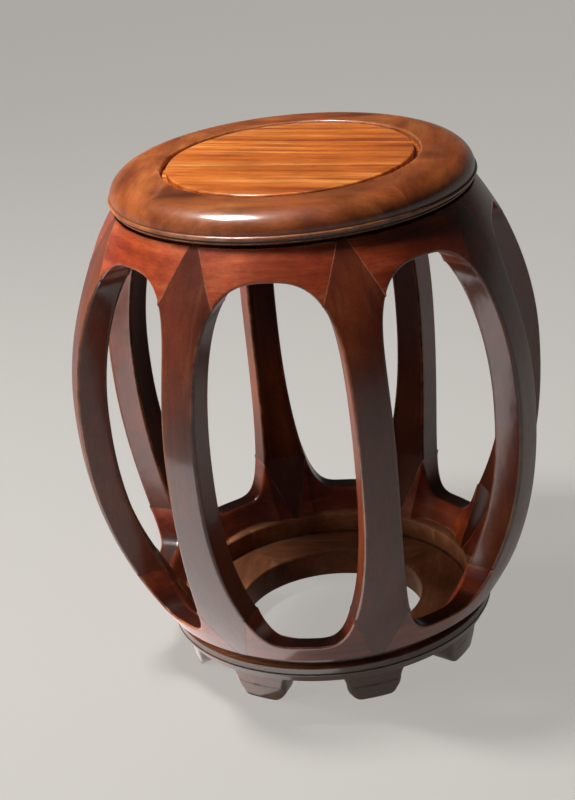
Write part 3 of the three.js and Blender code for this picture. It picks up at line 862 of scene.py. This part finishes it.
def add_age(tree, colour, clouds, patches, worn, rubbed):
    """Patchy pale edges, partly abrasion and partly a painted highlight, and hollows darkened partly by dirt
    and partly by painted shade.
    """
    patchy = tree.rescale(patches, WEAR_AND_HIGHLIGHT_PATCH_RANGE, WEAR_AND_HIGHLIGHT_PATCH_STRENGTH)
    cloudy = tree.rescale(clouds, WEAR_AND_HIGHLIGHT_CLOUD_RANGE, (WEAR_AND_HIGHLIGHT_CLOUD_SHARE * rubbed, rubbed))
    dirt_and_shade_patches = tree.rescale(patches, DIRT_AND_SHADE_RANGE, DIRT_AND_SHADE_STRENGTH)
    # Pale edges: abrasion and a painted highlight
    rub = tree.math("MULTIPLY", tree.math("MULTIPLY", tree.attribute("wear_and_edge_highlight"), patchy), cloudy)
    # Dark hollows: dirt and painted shade
    dirt_and_hollow_shade = tree.math("MULTIPLY", tree.attribute("dirt_and_hollow_shade"), dirt_and_shade_patches)
    return tree.mix(dirt_and_hollow_shade, tree.mix(rub, colour, paint(worn)), paint(DIRT_AND_SHADE_COLOUR))


def make_finishes():
    # Each timber's pale edge colour paints both the edges' abrasion and their highlight, and colours the
    # flecks
    dark_timber = wood(
        "rosewood", "rosewood",
        figure=[(0.30, "#551d0c"), (0.45, "#66270f"), (0.58, "#753113"), (0.72, "#873e1a")],
        worn="#c98a5e", rubbed=0.9,
        streak={"along": 8, "across": 34, "wander": 0.012, "veins": 0.2, "flecks": 0.08},
        mottle=0.24, tone_reach=0.1,
    )
    ring_timber = wood(
        "rosewood_brown", "rosewood",
        figure=[(0.30, "#6a2e12"), (0.45, "#8a431c"), (0.58, "#9f5426"), (0.72, "#b66c38")],
        worn="#d09468", rubbed=0.7,
        streak={"along": 12, "across": 34, "wander": 0.02, "veins": 0.15, "flecks": 0.12},
        mottle=0.3, tone_reach=0.06,
    )
    light_timber = wood(
        "rosewood_light", "rosewood_light",
        figure=[(0.30, "#782613"), (0.45, "#98381b"), (0.58, "#ae4822"), (0.72, "#c66034")],
        worn="#d08a58", rubbed=0.9,
        streak={"along": 9, "across": 50, "wander": 0.015, "veins": 0.25, "flecks": 0.2},
        mottle=0.3, tone_reach=0.1,
    )
    panel_timber = wood(
        "panel_wood", "panel_wood",
        figure=[(0.30, "#8c3a10"), (0.42, "#b45618"), (0.55, "#cf6f26"), (0.70, "#ea9a52")],
        worn="#eaa762", rubbed=0.2,
        streak={"along": 4, "across": 80, "wander": 0.018, "veins": 0.6, "flecks": 0.5},
        mottle=0.16, tone_reach=0,
    )
    base_timber = wood(
        "rosewood_grey", "rosewood",
        figure=[(0.30, "#56301c"), (0.45, "#70432a"), (0.58, "#835236"), (0.72, "#9a6848")],
        worn="#c49a7c", rubbed=0.3,
        streak={"along": 10, "across": 36, "wander": 0.02, "veins": 0.15, "flecks": 0.1},
        mottle=0.26, tone_reach=0.06,
    )
    return dark_timber, ring_timber, light_timber, panel_timber, base_timber


# Stage, lamps and camera

def make_floor():
    """Lit like any floor, with a pale glow that only the camera and reflections see."""
    angles = np.arange(FLOOR_SIDES) / FLOOR_SIDES * 2 * math.pi
    mesh = bpy.data.meshes.new("floor")
    mesh.from_pydata(polar(FLOOR_RADIUS, angles, 0).tolist(), [], [list(range(FLOOR_SIDES))])
    material = bpy.data.materials.new("floor")
    tree = Tree(material)
    tree.feed(tree.nodes["Principled BSDF"], {
        "Base Color": paint(FLOOR_COLOUR),
        "Roughness": 0.85,
        "Specular IOR Level": 0.2,
        "Emission Color": paint(FLOOR_GLOW_COLOUR),
        "Emission Strength": tree.math("MULTIPLY", add_seen(tree), FLOOR_GLOW),
    })
    mesh.materials.append(material)
    floor = bpy.data.objects.new("floor", mesh)
    bpy.context.scene.collection.objects.link(floor)


def add_seen(tree):
    """1 for the rays that show what lies behind the stool, and 0 for those that light it."""
    rays = tree.add("ShaderNodeLightPath", {}).outputs
    seen = tree.math("MAXIMUM", rays["Is Camera Ray"], rays["Is Glossy Ray"])
    return tree.math("MAXIMUM", seen, rays["Is Transmission Ray"])


def make_world():
    """A pale backdrop all round that darkens towards the ceiling, and lights the stool dimly."""
    world = bpy.data.worlds.new("studio")
    tree = Tree(world)
    direction = tree.add("ShaderNodeTexCoord", {}).outputs["Generated"]
    height = tree.add("ShaderNodeSeparateXYZ", {"Vector": direction}).outputs["Z"]
    colour = tree.ramp(tree.rescale(height, (-1, 1), (0, 1)), WORLD_STOPS)
    strength = tree.rescale(add_seen(tree), (0, 1), (WORLD_LIGHT, 1))
    tree.feed(tree.nodes["Background"], {"Color": colour, "Strength": strength})
    bpy.context.scene.world = world


def aim(thing, place, target):
    thing.location = place
    thing.rotation_mode = "QUATERNION"
    thing.rotation_quaternion = (Vector(target) - Vector(place)).to_track_quat("-Z", "Y")


def make_lamp(name, power, glints):
    """An area lamp that gives only glints in the lacquer, or only lights the stool."""
    light = bpy.data.lights.new(name, "AREA")
    light.energy = power
    lamp = bpy.data.objects.new(name, light)
    lamp.visible_glossy = glints
    lamp.visible_diffuse = not glints
    bpy.context.scene.collection.objects.link(lamp)
    return lamp


def make_lamps():
    for settings in LAMPS:
        lamp = make_lamp(settings["name"], settings["power"], settings["glints"])
        lamp.data.size = settings["size"]
        aim(lamp, settings["place"], LAMP_TARGET)


def make_card():
    """A dim card flat on the floor, which only the lacquer reflects."""
    card = make_lamp("card", CARD_POWER, True)
    card.data.shape = "RECTANGLE"
    card.data.size, card.data.size_y = CARD_SIZE
    card.visible_camera = False
    card.location = CARD_PLACE
    card.rotation_euler = (math.pi, 0, CARD_TURN)


def make_camera():
    camera = bpy.data.objects.new("camera", bpy.data.cameras.new("camera"))
    bpy.context.scene.collection.objects.link(camera)
    forward = (Vector(CAMERA_TARGET) - Vector(CAMERA_PLACE)).normalized()
    right = forward.cross(Vector((0, 0, 1))).normalized()
    up = right.cross(forward)
    cos, sin = math.cos(CAMERA_ROLL), math.sin(CAMERA_ROLL)
    axes = Matrix((right * cos - up * sin, right * sin + up * cos, -forward)).transposed()
    camera.rotation_mode = "QUATERNION"
    camera.rotation_quaternion = axes.to_quaternion()
    camera.location = CAMERA_PLACE
    camera.data.lens = CAMERA_LENS
    bpy.context.scene.camera = camera


dark_timber, ring_timber, light_timber, panel_timber, base_timber = make_finishes()
# Legs and aprons get painted shade on inner faces and sills and painted light on the windows' sides
make_barrel(dark_timber, light_timber)
make_ring("seat_ring", seat_ring_profile(), ring_timber)
# The base ring's marks are swapped: painted light on its inner wall and ledge
make_ring("base_ring", base_ring_profile(), base_timber, painted_shade_strength=-1)
make_panel(panel_timber)
make_batten(dark_timber)
make_feet(base_timber)
make_floor()
make_world()
make_lamps()
make_card()
make_camera()
bpy.context.scene.view_settings.view_transform = "Standard"
